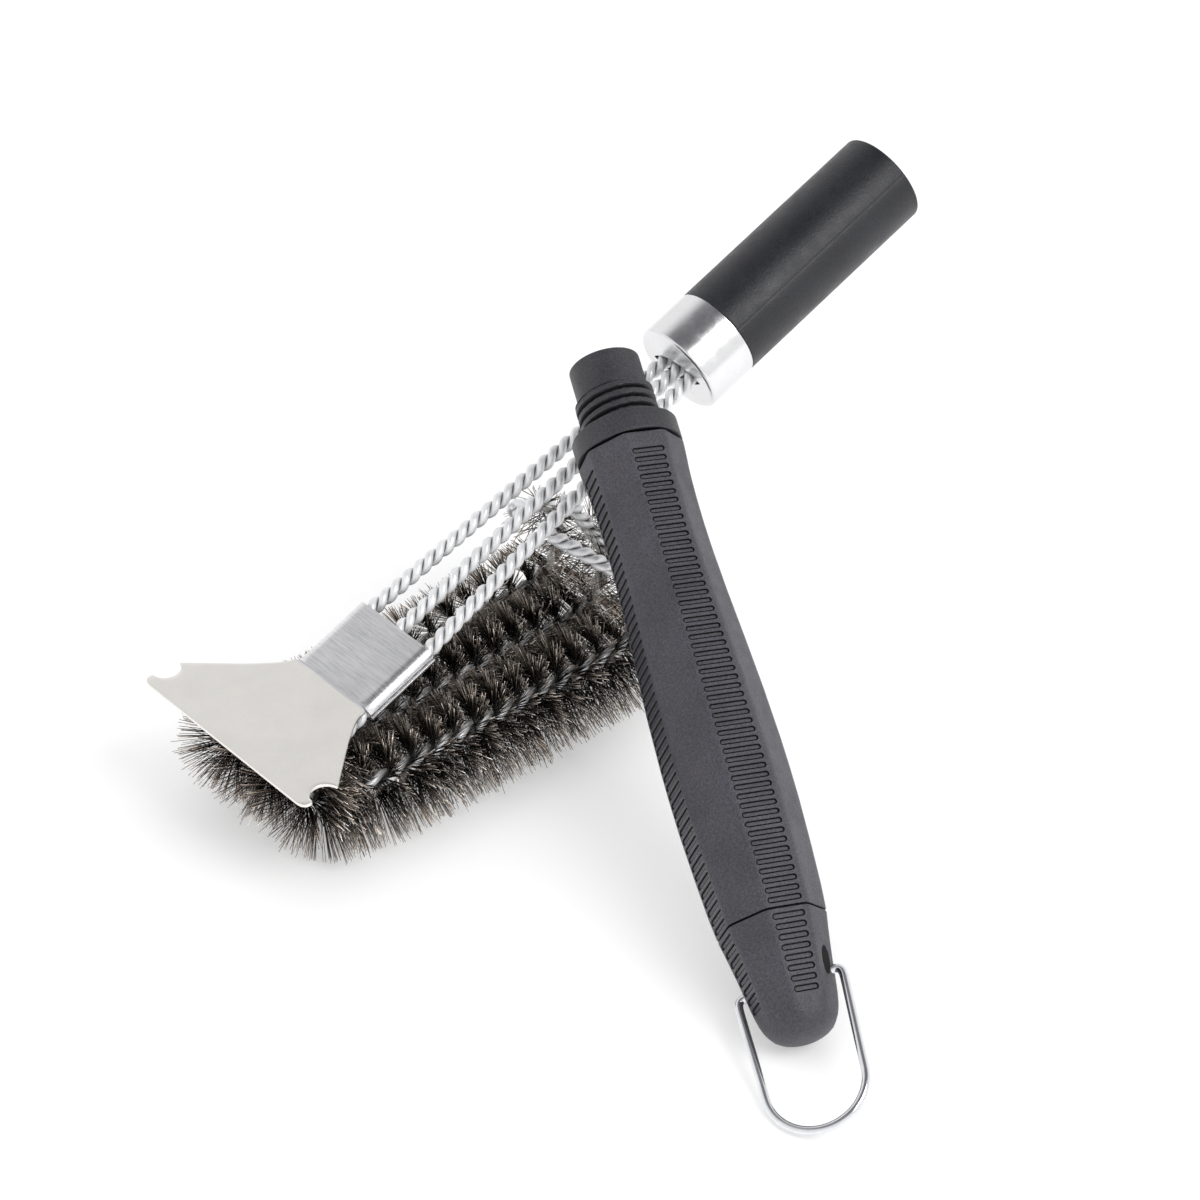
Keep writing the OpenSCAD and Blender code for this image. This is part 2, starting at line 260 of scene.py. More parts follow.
def plastic(name, colour, rough, grain=0.35, spread=0.18):
    """Moulded plastic: spark-eroded grain, faint blotches and scuffs, with painted shade in its narrow recesses.
    """
    m, nodes, links, shader = new_material(name)
    where = object_coords(nodes, links)
    blotch = noise(nodes, links, where, 60, 4)
    dark = tuple(c * (1 - spread) for c in colour)
    light = tuple(c * (1 + spread) for c in colour)
    fine = noise(nodes, links, where, 1700, 2, 0.7)
    speckle = nodes.new("ShaderNodeMix")
    speckle.data_type, speckle.blend_type = "RGBA", "MULTIPLY"
    speckle.inputs["Factor"].default_value = 1.0
    links.new(ramp(nodes, links, blotch, [(0.3, dark), (0.7, light)]), speckle.inputs["A"])
    links.new(ramp(nodes, links, fine, [(0.32, (0.58,) * 3), (0.68, (1.42,) * 3)]), speckle.inputs["B"])
    # painted shade: the colour is darkened where the surface faces another within 1.3 mm, as in pocket walls and
    # grooves
    colour = painted_crevice_shade(nodes, links, speckle.outputs["Result"], 0.0013, 0.04, 0.45, 0.93)
    links.new(colour, shader.inputs["Base Color"])
    links.new(value_range(nodes, links, noise(nodes, links, where, 240, 3), rough - 0.06, rough + 0.06),
              shader.inputs["Roughness"])
    bump(nodes, links, shader, fine, 0.0003, grain)
    shader.inputs["Specular IOR Level"].default_value = 0.5
    return m


def metal(name, colour, rough, stretch=(1, 1, 1), scale=900, strength=0.12, spread=0.12, metallic=1.0,
          crevice_shade=None, lines=0.04):
    """Bare metal: fine marks, drawn out along the axis with the least stretch, and uneven gloss; when asked for,
    painted shade darkens its narrow crevices.
    """
    m, nodes, links, shader = new_material(name)
    where = object_coords(nodes, links, stretch)
    line = noise(nodes, links, where, scale, 3, 0.65)
    cloud = noise(nodes, links, object_coords(nodes, links), 90, 3)
    dark = tuple(c * (1 - spread) for c in colour)
    light = tuple(min(1, c * (1 + spread)) for c in colour)
    shade = ramp(nodes, links, cloud, [(0.3, dark), (0.7, light)])
    drawn = nodes.new("ShaderNodeMix")
    drawn.data_type, drawn.blend_type = "RGBA", "MULTIPLY"
    drawn.inputs["Factor"].default_value = 1.0
    links.new(shade, drawn.inputs["A"])
    links.new(ramp(nodes, links, line, [(0.3, (1 - lines,) * 3), (0.7, (1 + lines,) * 3)]), drawn.inputs["B"])
    shade = drawn.outputs["Result"]
    # painted shade in narrow crevices, only when asked for
    if crevice_shade:
        shade = painted_crevice_shade(nodes, links, shade, *crevice_shade)
    links.new(shade, shader.inputs["Base Color"])
    links.new(value_range(nodes, links, line, rough * 0.75, rough * 1.3), shader.inputs["Roughness"])
    bump(nodes, links, shader, line, 0.00004, strength)
    shader.inputs["Metallic"].default_value = metallic
    return m


def bristle_material():
    """Fine wire: a painted glint where the bristles leave the core, near-black painted shade through the inner
    half of each bristle, tan to grey at the tip; each bristle has its own random tone, whose brightest end is a
    painted glint.
    """
    m, nodes, links, shader = new_material("bristle_wire")
    along = nodes.new("ShaderNodeAttribute")
    along.attribute_name = "along"
    tone_and_glint = nodes.new("ShaderNodeAttribute")
    tone_and_glint.attribute_name = "tone_and_glint"
    # stops along each bristle: up to 0.13 a bright painted glint at the root, 0.24 to 0.55 near-black painted
    # shade deep in the tufts, then the wire's tan to grey at the tip
    colour = ramp(nodes, links, along.outputs["Fac"],
                  [(0.0, (0.80, 0.79, 0.78)), (0.13, (0.55, 0.54, 0.53)), (0.24, (0.012, 0.011, 0.010)),
                   (0.55, (0.028, 0.024, 0.021)), (0.82, (0.13, 0.112, 0.098)), (1.0, (0.40, 0.36, 0.33))])
    mix = nodes.new("ShaderNodeMix")
    mix.data_type = "RGBA"
    mix.blend_type = "MULTIPLY"
    mix.inputs["Factor"].default_value = 1.0
    links.new(colour, mix.inputs["A"])
    # each bristle's random tone multiplies the colour; its top end, several times brighter, is painted glint
    links.new(ramp(nodes, links, tone_and_glint.outputs["Fac"],
                   [(0.0, (0.10, 0.10, 0.10)), (0.5, (0.75, 0.73, 0.70)), (0.75, (2.3, 2.2, 2.1)),
                    (1.0, (6.0, 5.6, 5.2))]),
              mix.inputs["B"])
    links.new(mix.outputs["Result"], shader.inputs["Base Color"])
    shader.inputs["Metallic"].default_value = 0.9
    where = object_coords(nodes, links)
    links.new(value_range(nodes, links, noise(nodes, links, where, 700), 0.18, 0.34),
              shader.inputs["Roughness"])
    return m


tube_black = plastic("tube_satin_black", (0.0105, 0.011, 0.0145), 0.42, 0.40)
insert_black = plastic("insert_moulded", (0.022, 0.022, 0.024), 0.5, 0.3)
grip_charcoal = plastic("grip_charcoal", (0.046, 0.0435, 0.054), 0.46, 0.70)
plug_black = plastic("plug_moulded", (0.027, 0.0272, 0.032), 0.44, 0.5)
polished = metal("ferrule_polished", (0.80, 0.80, 0.81), 0.22, scale=260, strength=0.015, spread=0.04,
                 lines=0.015)
# the galvanised strands get painted shade where their lobes press together
galvanised = metal("galvanised_wire", (0.84, 0.845, 0.855), 0.44, scale=420, strength=0.40, spread=0.08,
                   metallic=0.5, crevice_shade=(0.0015, 0.50), lines=0.07)
loop_metal = metal("loop_polished", (0.80, 0.81, 0.83), 0.15, scale=700, strength=0.03, spread=0.06)
clamp_metal = metal("scraper_brushed", (0.80, 0.80, 0.81), 0.31, (1, 0.05, 1), 2200, 0.60, 0.06, lines=0.16)
blade_metal = metal("scraper_blade", (0.90, 0.88, 0.84), 0.42, scale=1500, strength=0.10, spread=0.03)
# near-black painted shade for the walls of the loop's sinks in the cap
painted_sink_shade = plastic("sink_shade_painted", (0.0012, 0.0012, 0.0014), 0.7, 0.2)
screw_metal = metal("screw_zinc", (0.62, 0.62, 0.60), 0.3)
bristle_wire = bristle_material()

# ---------- tube, ferrule and socket ----------
TUBE_R, TUBE_BORE, FERRULE_L, TUBE_END = 14.8, 12.62, 17.0, 90.0
PARTING_ANGLE = 0.95


def seam_groove(angle, height):
    """The mould's parting line: a fine groove on opposite sides."""
    off = np.abs((angle - PARTING_ANGLE + math.pi / 2) % math.pi - math.pi / 2)
    return -0.12 * np.clip(1 - off / 0.022, 0, 1) * (height > FERRULE_L + 0.5)


wall = rounded([(TUBE_BORE, FERRULE_L + 0.02), (TUBE_R - 0.02, FERRULE_L + 0.02), (TUBE_R, TUBE_END - 0.02),
                (TUBE_BORE, TUBE_END - 0.02)], 0.7, 5) + [(TUBE_BORE, 60), (TUBE_BORE, 40)]
make("handle_tube_skin", [lathe(wall, 360, seam_groove)], stem, tube_black, "head",
     ["handle_tube"])

PITCH, THREAD_START = 3.05, 0.95


def thread(start, end, depth, width=0.62, lead=0.7):
    """Radius change of a single-start thread between two heights, fading in and out at its ends."""
    def change(angle, height):
        phase = ((height - THREAD_START) / PITCH - angle / (2 * math.pi)) % 1.0
        off = np.abs(phase - 0.5) * 2
        ridge = np.clip((width + 0.22 - off) / 0.44, 0, 1)
        ridge = ridge * ridge * (3 - 2 * ridge)
        run = lead * PITCH
        fade = np.clip((height - start) / run, 0, 1) * np.clip((end - height) / run, 0, 1)
        return depth * ridge * fade
    return change


def dense(profile, step):
    """More points along a profile where a thread needs them."""
    out = [profile[0]]
    for a, b in zip(profile, profile[1:]):
        n = max(1, int(np.hypot(b[0] - a[0], b[1] - a[1]) / step))
        out += [(a[0] + (b[0] - a[0]) * k / n, a[1] + (b[1] - a[1]) * k / n) for k in range(1, n + 1)]
    return out


socket = [(0.02, 58.9), (11.1, 58.9)] + dense([(11.1, 76), (11.1, 88)], 0.2) + \
    rounded([(11.1, 88.2), (11.1, 89), (12.55, 89), (12.55, 86)], 0.35) + [(12.55, 55), (0.02, 55)]
make("socket_thread", [lathe(socket, 120, lambda a, z: thread(76.2, 88, 0.95)(a, z) * (z > 76))],
     stem, insert_black, "head", ["socket_insert"])


# ---------- the three twisted wires ----------
PAIR_R, STRAND_R = 2.42, 1.23
BARE_PITCH, HELD_PITCH = 8.8, 15.8            # length of one full turn of a pair
ROW_GAP, CORE_Z, TOE_R, HEEL_R, HEEL_X = 20.5, 18.4, 6.1, 15.5, -44.0
CLAMP_S, CLAMP_L = -116.0, 25.0
TOE_Z = CORE_Z + TOE_R
TOE_X = (TOE_Z + TOE_R / math.cos(TILT) - FACE_Z) / math.tan(TILT)
HEEL_Z = CORE_Z + HEEL_R


def on_stem(s, y):
    return (s * math.cos(TILT), y, FACE_Z + s * math.sin(TILT))


def arc(cx, cz, r, a, y):
    return (cx + r * math.cos(a), y, cz + r * math.sin(a))


def route(row):
    """Centre line of one wire pair, with the distance along it at each point."""
    pts = [on_stem(s, row * (5.7 + 7.3 * min(1, max(0, (1 - s) / 117)))) for s in (15, 1, -30, -70, CLAMP_S)]
    pts += [on_stem(CLAMP_S - CLAMP_L, row * 13), on_stem(CLAMP_S - CLAMP_L - 12, row * 14)]
    for k in range(13):
        a = math.pi / 2 + TILT + (math.pi - TILT) * k / 12
        pts.append(arc(TOE_X, TOE_Z, TOE_R, a, row * (15 + 1.0 * k / 12)))
    for k in range(1, 5):
        t = k / 4
        pts.append((TOE_X + 5 * k, row * (16 + 4.5 * t * t * (3 - 2 * t)), CORE_Z))
    pts.append((-90, row * ROW_GAP, CORE_Z))
    last = math.radians(30 if row == 0 else 90)
    for k in range(17):
        a = -math.pi / 2 + (last + math.pi / 2) * k / 16
        pts.append(arc(HEEL_X, HEEL_Z, HEEL_R, a, row * ROW_GAP))
    if row == 0:
        x, _, z = pts[-1]
        pts += [(x - 3 * k, 0.3 * k, z + 5.2 * k) for k in (1, 2, 3, 4)]
    else:
        for k in range(1, 5):
            t = k / 4
            e = t * t * (3 - 2 * t)
            pts.append((HEEL_X - 3.3 * k, row * (ROW_GAP - 12.2 * e), HEEL_Z + HEEL_R + 12.0 * t))
    fine, _ = resample(np.array(pts, float), 0.25)
    fine = smoothed(fine, 10)
    return resample(fine, 0.5)


def twist_angle(path, at):
    """Turn of the pair along its length: tight on bare wire, slower where bristles are held. Left-handed."""
    held = (path[:, 2] < 42) & (path[:, 0] < -20)
    held &= ~((path[:, 0] > -148) & (path[:, 2] > 27) & (path[:, 0] < -60))
    held = np.convolve(np.pad(held.astype(float), 12, "edge"), np.ones(25) / 25, "valid")
    rate = 2 * math.pi / BARE_PITCH * (1 - held) + 2 * math.pi / HELD_PITCH * held
    return -np.concatenate([[0], np.cumsum((rate[1:] + rate[:-1]) / 2 * np.diff(at))])


def strands(path, at):
    _, n, b = transported(path)
    turn = twist_angle(path, at)
    out = []
    for half in (0, math.pi):
        a = (turn + half)[:, None]
        out.append(path + (n * np.cos(a) + b * np.sin(a)) * (PAIR_R - STRAND_R))
    return out


BRISTLE_LENGTH, BRISTLES_PER_MM = 18.5, 36
BLADE_UNDERSIDE, BLADE_REAR_X, BLADE_HALF_Y = 40.2, -129, 39


def bristles(path, at, seed):
    """Root points, directions and lengths of the bristles that one wire pair holds."""
    r = np.random.default_rng(seed)
    t, n, b = transported(path)
    turn = twist_angle(path, at)
    first = np.argmax((path[:, 2] < 33.5) & (path[:, 0] < -146))
    top = HEEL_Z + HEEL_R * 0.96 if abs(path[-1, 1]) > 4 else 52
    past_top = path[first:, 2] > top
    past_top[-1] = True
    last = first + np.argmax(past_top)
    total = int((at[last] - at[first]) * BRISTLES_PER_MM)
    where = r.uniform(at[first], at[last], total)
    k = np.clip(np.searchsorted(at, where), 1, len(at) - 1)
    root = np.stack([np.interp(where, at, path[:, c]) for c in range(3)], -1)
    angle = np.interp(where, at, turn) + math.pi / 2 + r.integers(0, 2, total) * math.pi
    angle += r.normal(0, math.radians(5.0), total)
    lean = r.normal(0, math.radians(5), total)
    d = n[k] * np.cos(angle)[:, None] + b[k] * np.sin(angle)[:, None]
    d = unit(d * np.cos(lean)[:, None] + t[k] * np.sin(lean)[:, None])
    length = BRISTLE_LENGTH * r.normal(1, 0.05, total)
    length *= 1 - 0.26 * np.clip(d[:, 2], 0, 1)
    heel = (root[:, 0] > HEEL_X) & (root[:, 2] > CORE_Z + 5)
    if path[len(path) // 2, 1] > 4:                # the far row's heel is trimmed short
        length = np.where(heel, length * np.where(d[:, 2] > 0, 0.42, 0.8), length)
        length *= 1 - 0.18 * np.clip(d[:, 1], 0, 1) * np.clip(d[:, 2] + 0.3, 0, 1)
    else:
        length = np.where(heel & (d[:, 2] > 0.3), length * 0.85, length)
    thin = heel & (r.uniform(0, 1, total) > 0.20)
    length[thin] = 0
    return root, d, length, t[k], r


def limited(root, d, length):
    """Shortens bristles that would pass through the ground, the blade, the clamp or the stems."""
    out = np.minimum(length, np.where(d[:, 2] < -1e-3, (root[:, 2] - 0.2) / np.maximum(-d[:, 2], 1e-3), 99))
    normal = np.array([-math.sin(TILT), 0, math.cos(TILT)])
    for share in (1.0, 0.75, 0.5):
        tip = root + d * (out * share)[:, None]
        under = (tip[:, 0] < -128) & (np.abs(tip[:, 1]) < 39)
        room = np.where(d[:, 2] > 1e-3, (40.0 - root[:, 2]) / np.maximum(d[:, 2], 1e-3), 99)
        out = np.where(under & (tip[:, 2] > 40.0), np.minimum(out, np.maximum(room, 1)), out)
        lift = (tip - np.array([0, 0, FACE_Z])) @ normal
        from_root = (root - np.array([0, 0, FACE_Z])) @ normal
        climb = d @ normal
        near = (np.abs(tip[:, 1]) < 18.5) & (lift > -4.0) & (tip[:, 0] > -134) & (from_root < -4)
        room = np.where(climb > 1e-3, (-4.0 - from_root) / np.maximum(climb, 1e-3), 99)
        out = np.where(near, np.minimum(out, np.maximum(room, 1)), out)
    return out


def bristle_mesh(name, path, at, seed, replaces):
    root, d, length, t, r = bristles(path, at, seed)
    length = limited(root, d, length)
    keep = length > 4
    root, d, length, t = root[keep], d[keep], length[keep], t[keep]
    count = len(root)
    side = unit(np.cross(d, t + r.normal(0, 0.2, t.shape)))
    over = np.cross(d, side)
    bow = r.normal(0, 0.36, (count, 1))
    bow2 = r.normal(0, 0.36, (count, 1))
    sag = r.normal(0, 0.25, (count, 1))
    steps = np.array([0.03, 0.18, 0.60, 1.0])
    width = np.array([0.120, 0.120, 0.116, 0.100])
    stray = r.uniform(0, 1, count) > 0.985
    bow[stray] *= 5
    on_heel = (root[:, 0] > HEEL_X) & (root[:, 2] > CORE_Z + 3)
    bow[on_heel] *= 0.4
    rings = []
    for u, w in zip(steps, width):
        bent = (side * bow + over * bow2) * u * u + side * sag * math.sin(3 * u)
        centre = root + d * (length * u)[:, None] + bent
        for a in (0, 2.0944, 4.18879):
            rings.append(centre + (side * math.cos(a) + over * math.sin(a)) * w)
    points = np.stack(rings, 1)
    points[..., 2] = np.maximum(points[..., 2], 0.06)
    below = (points[..., 0] < BLADE_REAR_X) & (np.abs(points[..., 1]) < BLADE_HALF_Y)
    below &= root[:, None, 2] < 40
    points[..., 2] = np.where(below, np.minimum(points[..., 2], BLADE_UNDERSIDE), points[..., 2])
    n_r = len(steps)
    base = np.arange(count)[:, None, None] * (3 * n_r)
    quads = []
    for ring in range(n_r - 1):
        for k in range(3):
            k2 = (k + 1) % 3
            quads.append([ring * 3 + k, ring * 3 + k2, ring * 3 + 3 + k2, ring * 3 + 3 + k])
    quads = (base + np.array(quads)[None]).reshape(-1, 4)
    tips = (base[:, :, 0] + np.array([[3 * n_r - 3, 3 * n_r - 2, 3 * n_r - 1]])).reshape(-1, 3)
    roots = (base[:, :, 0] + np.array([[2, 1, 0]])).reshape(-1, 3)
    flat = head(points.reshape(-1, 3))
    mesh = bpy.data.meshes.new(name)
    mesh.vertices.add(len(flat))
    mesh.vertices.foreach_set("co", flat.ravel())
    loops = np.concatenate([quads.ravel(), tips.ravel(), roots.ravel()])
    sizes = np.concatenate([np.full(len(quads), 4), np.full(len(tips) + len(roots), 3)])
    starts = np.concatenate([[0], np.cumsum(sizes)[:-1]])
    mesh.loops.add(len(loops))
    mesh.loops.foreach_set("vertex_index", loops.astype(np.int32))
    mesh.polygons.add(len(sizes))
    mesh.polygons.foreach_set("loop_start", starts.astype(np.int32))
    mesh.polygons.foreach_set("use_smooth", np.ones(len(sizes), bool))
    mesh.update(calc_edges=True)
    mesh.validate()
    along = np.repeat(np.tile(steps, count), 3).astype(np.float32)
    pale = np.where(on_heel, 0.24, 0)
    tone_and_glint = np.repeat(np.clip(r.normal(0.5, 0.21, count) + pale, 0, 0.95), 3 * n_r).astype(np.float32)
    for key, data in (("along", along), ("tone_and_glint", tone_and_glint)):
        mesh.attributes.new(key, "FLOAT", "POINT").data.foreach_set("value", data)
    mesh.materials.append(bristle_wire)
    obj = bpy.data.objects.new(name, mesh)
    bpy.context.scene.collection.objects.link(obj)
    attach(obj, "head")
    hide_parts(replaces)
    return obj


for seed, (side_name, row) in enumerate((("left", 1), ("middle", 0), ("right", -1))):
    path, at = route(row)
    for strand_path, node in zip(strands(path, at), ("inner", "outer")):
        make(f"{side_name}_strand_{node}", [tube(strand_path, STRAND_R, 12)], head, galvanised, "head",
             [f"{side_name}_wire_{node}"], sharp=70)
    bristle_mesh(f"{side_name}_bristle_wires", path, at, 40 + seed, f"{side_name}_bristles")

# ---------- scraper ----------
SHEET = 1.0
CLAMP_HALF = 16.5
MID = PAIR_R + 0.05 + SHEET / 2
BEND_R = 3.0
NOTCH_AT, NOTCH_R = 31.5, 4.5


def blade_half(b):
    """Half width of the blade at distance b in front of its fold."""
    flank = np.interp(b, [0, 0.5, 1.0, 2.8, 5, 7.5, 10, 12.8, 15.3, 17.8, 20.5, 24, 26.2, 27.3],
                      [13.05, 15.3, 16.1, 16.4, 17.4, 19.2, 21.2, 23.5, 25.8, 28.1, 30.6, 33.9, 36.0, 36.7])
    notch = 37.2 - np.sqrt(np.clip(NOTCH_R ** 2 - (b - NOTCH_AT) ** 2, 0, None))
    horn = np.interp(b, [35.9, 36.4, 37.1, 37.9, 38.6, 39.1, 39.4],
                     [36.9, 37.25, 37.3, 37.1, 36.6, 35.7, 34.3])
    tip = np.interp(b, [27.3, 27.9], [36.7, 35.8])
    return np.where(b < 27.3, flank, np.where(b < 35.9, np.minimum(notch, np.where(b < 27.9, tip, 99)), horn))


def sheet_point(a, y):
    """A point of the sheet's middle surface: a runs forward from the clamp's rear edge."""
    s = CLAMP_S - min(a, CLAMP_L)
    x = s * math.cos(TILT) - MID * math.sin(TILT)
    z = FACE_Z + s * math.sin(TILT) + MID * math.cos(TILT)
    if a <= CLAMP_L:
        return (x, y, z)
    # beyond the clamp the sheet levels out from the stems' slope to -X
    ahead = a - CLAMP_L
    part = min(ahead, BEND_R * TILT) / BEND_R
    x -= BEND_R * (math.sin(TILT) - math.sin(TILT - part)) + max(0.0, ahead - BEND_R * TILT)
    z -= BEND_R * (math.cos(TILT - part) - math.cos(TILT))
    return (x, y, z)


def scraper():
    top = 40                                       # quads across the upper face
    flat = CLAMP_HALF - SHEET / 2 - MID
    ys = np.linspace(-flat, flat, top + 1)

    def side(sign, angles):
        return [(MID - MID * math.cos(a), sign * (flat + MID * math.sin(a))) for a in angles]

    # (drop below the upper face, y) round the flat tube, from its seam back to its seam
    right = side(-1, np.linspace(math.pi * 0.44, 0, 9))
    section = right[:-1] + [(0.0, y) for y in ys]
    section += side(1, np.linspace(0, math.pi, 15)[1:])
    section += [(2 * MID, y) for y in np.linspace(flat, -flat, 21)[1:]]
    section += side(-1, np.linspace(math.pi, math.pi * 0.56, 7)[1:])
    rows = np.linspace(0, CLAMP_L, 11)
    down_dir = np.array([math.sin(TILT), 0, -math.cos(TILT)])
    bm = bmesh.new()
    clamp = [[bm.verts.new(head(np.array(sheet_point(a, y)) + down_dir * drop)) for drop, y in section]
             for a in rows]
    for upper, lower in zip(clamp, clamp[1:]):
        for k in range(len(section) - 1):
            bm.faces.new((upper[k], upper[k + 1], lower[k + 1], lower[k]))
    start = len(right) - 1
    previous = clamp[-1][start:start + top + 1]
    beyond = np.concatenate([[0.35, 0.7, 1.1, 1.8, 2.8], np.arange(4, 26.6, 1.1),
                             [26.6, 27.0, 27.3, 27.6, 27.9],
                             NOTCH_AT - NOTCH_R * np.cos(np.linspace(0.55, math.pi - 0.35, 16)),
                             [35.95, 36.4, 36.8, 37.3, 37.9, 38.4, 38.8, 39.1, 39.4]])
    beyond = np.unique(np.round(beyond, 3))
    for b in beyond:
        w = float(blade_half(np.array(b)))
        here = [bm.verts.new(head(sheet_point(CLAMP_L + b, y))) for y in np.linspace(-w, w, top + 1)]
        for k in range(top):
            f = bm.faces.new((previous[k], previous[k + 1], here[k + 1], here[k]))
            f.material_index = 1 if b > 1.3 else 0
        previous = here
    mesh = bpy.data.meshes.new("scraper_sheet")
    bmesh.ops.recalc_face_normals(bm, faces=bm.faces)
    bm.to_mesh(mesh)
    bm.free()
    mesh.shade_smooth()
    mesh.materials.append(clamp_metal)
    mesh.materials.append(blade_metal)
    obj = bpy.data.objects.new("scraper_sheet", mesh)
    bpy.context.scene.collection.objects.link(obj)
    thick = obj.modifiers.new("sheet", "SOLIDIFY")
    thick.thickness, thick.offset = SHEET * MM, 0.0
    edge = obj.modifiers.new("edges", "BEVEL")
    edge.width, edge.segments, edge.limit_method = 0.2 * MM, 2, "ANGLE"
    edge.angle_limit = math.radians(60)
    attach(obj, "head")
    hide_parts("scraper")


scraper()

# ---------- threaded plug ----------
FLANGE_R = 15.6
plug = rounded([(0.02, -6), (12.4, -6), (12.4, -1.4), (FLANGE_R, -1.4), (FLANGE_R, 5.4), (12.2, 5.9)],
               0.45, 4)
plug += dense([(10.2, 6.3), (10.2, 17.5)], 0.14)
plug += rounded([(10.35, 17.65), (10.5, 17.95), (10.5, 28.5), (9.2, 28.5), (8.6, 27.6), (0.02, 27.6)], 0.9, 5)
cut = thread(5.6, 18.6, 1.5, 0.66, 0.3)
make("plug_thread", [lathe(plug, 144, lambda a, z: cut(a, z) * ((z > 6.2) & (z < 17.6)))], handle, plug_black,
     "handle", ["threaded_plug"])

# ---------- grip and tail cap ----------
grip_shape = np.array([[-1.5, 15.65], [-6, 15.35], [-12, 14.85], [-20, 14.55], [-28, 14.45], [-36, 14.55],
                       [-50, 15.1], [-66, 16.0], [-82, 16.8], [-98, 17.25], [-106, 17.3], [-116, 17.2],
                       [-130, 16.65], [-142, 16.0], [-149.5, 15.3], [-154, 14.45], [-161.5, 13.25],
                       [-168, 12.35], [-172, 11.8], [-175.7, 11.0], [-178.2, 10.0], [-180.2, 8.5],
                       [-181.5, 6.6], [-182.3, 4.5], [-182.6, 2.6]])
HALF_FACE = math.radians(22.5)
FLAT = 0.94                                        # a face's middle, as a share of the corner radius
SEAM = -149.1


def corner_radius(s):
    order = np.argsort(grip_shape[:, 0])
    xs, ys = grip_shape[order, 0], grip_shape[order, 1]
    # a light three-point blend keeps the table's kinks from showing
    if s > -173:
        return sum(np.interp(s + o, xs, ys) * w for o, w in ((-1.6, 0.25), (0, 0.5), (1.6, 0.25)))
    return float(np.interp(s, xs, ys))


def squareness(s):
    return float(np.interp(s, [-182.6, -180.5, -177, -172], [5, 7, 16, 46]))


def shell(s, angle):
    """Radius of the soft-cornered octagon at height s and angle."""
    p = squareness(s)
    terms = np.clip(np.cos(np.asarray(angle)[..., None] - np.arange(8) * math.pi / 4), 0, 1) ** p
    return corner_radius(s) * 2 ** (1 / p) * math.cos(HALF_FACE) / terms.sum(-1) ** (1 / p)


def strip_half(s):
    return corner_radius(s) * FLAT * math.tan(HALF_FACE) * 0.955


def pocket_half(s):
    share = float(np.interp(s, [-176, -165, -100, -20], [0.76, 0.82, 0.85, 0.84]))
    return corner_radius(s) * FLAT * math.tan(HALF_FACE) * share


def face_points(side, s, v, depth=0.0):
    """Points of a ribbed face: v across it and s along it, sunk by depth."""
    a = corner_radius(s) * FLAT
    angle = math.atan2(v, a)
    r = float(shell(s, np.array(angle)))
    normal = side * math.pi / 2
    x, y = r * math.cos(angle) - depth, r * math.sin(angle)
    return (x * math.cos(normal) - y * math.sin(normal), x * math.sin(normal) + y * math.cos(normal), s)


COLS = 8                                           # quads across a ribbed face
POCKET_HALF = 0.335                                # half height of a pocket, as a share of its cell


def edge_vs(s, height):
    """Where a cell's edge has its points across the face."""
    w, a = strip_half(s), pocket_half(s) - height
    return [-w] + list(np.linspace(-a, a, COLS - 1)) + [w]


def smooth_row(side, s):
    """Points from a ribbed face's edge round the smooth face to the next; the cap has a parting line."""
    a, m = math.atan2(strip_half(s), corner_radius(s) * FLAT), math.pi / 4
    angles = np.concatenate([np.linspace(a, m - 0.012, 7), [m], np.linspace(m + 0.012, math.pi / 2 - a, 7)])
    angles = side * math.pi / 2 + angles
    r = shell(s, angles)
    if s < SEAM and side % 2:
        r[7] += 0.10
    return np.stack([r * np.cos(angles), r * np.sin(angles), np.full(len(angles), s)], -1)


def pocket_cell(side, s0, s1, sink=0.8):
    """One cell of a ribbed face with its round-ended pocket, whose floor rises in the middle."""
    height = abs(s1 - s0) * POCKET_HALF
    mid = (s0 + s1) / 2
    half = pocket_half(mid)
    top = [(v, s0) for v in edge_vs(s0, height)]
    bottom = [(v, s1) for v in edge_vs(s1, height)]
    right = [(strip_half(s0 + (s1 - s0) * t), s0 + (s1 - s0) * t) for t in (0.25, 0.5, 0.75)]
    left = [(-v, s) for v, s in right]
    outline = top + right + bottom[::-1] + left[::-1]        # 9 + 3 + 9 + 3 = 24 points

    def obround(inset):
        b, a = height - inset, half - height
        sign = 1 if s0 > s1 else -1
        pts = [(v, mid + sign * b) for v in np.linspace(-a, a, COLS - 1)]
        turns = np.linspace(0, math.pi, 7)[1:-1]
        pts += [(a + b * math.sin(t), mid + sign * b * math.cos(t)) for t in turns]
        pts += [(v, mid - sign * b) for v in np.linspace(a, -a, COLS - 1)]
        pts += [(-a - b * math.sin(t), mid - sign * b * math.cos(t)) for t in turns]
        return pts[-1:] + pts[:-1]                           # starts level with the cell's first corner

    loops = [[face_points(side, s, v) for v, s in outline]]
    for inset, depth in ((-0.04, 0.0), (0.06, 0.08), (0.17, sink), (0.31, sink), (0.47, sink * 0.45)):
        loops.append([face_points(side, s, v, depth) for v, s in obround(inset)])
    points = [p for one in loops for p in one]
    n = len(outline)
    faces = []
    for k in range(len(loops) - 1):
        for j in range(n):
            j2 = (j + 1) % n
            faces.append([k * n + j, k * n + j2, (k + 1) * n + j2, (k + 1) * n + j])
    last = (len(loops) - 1) * n
    # the floor: the pocket's top run is bridged to its bottom run, end to end
    for j in range(n // 2 - 1):
        a, b = (j + n - 2) % n, (j + n - 1) % n
        c, d = (n - 3 - j + n) % n, (n - 4 - j + n) % n
        quad = [last + a, last + b, last + d, last + c]
        if len(set(quad)) > 2:
            faces.append(list(dict.fromkeys(quad)))
    return np.array(points), faces


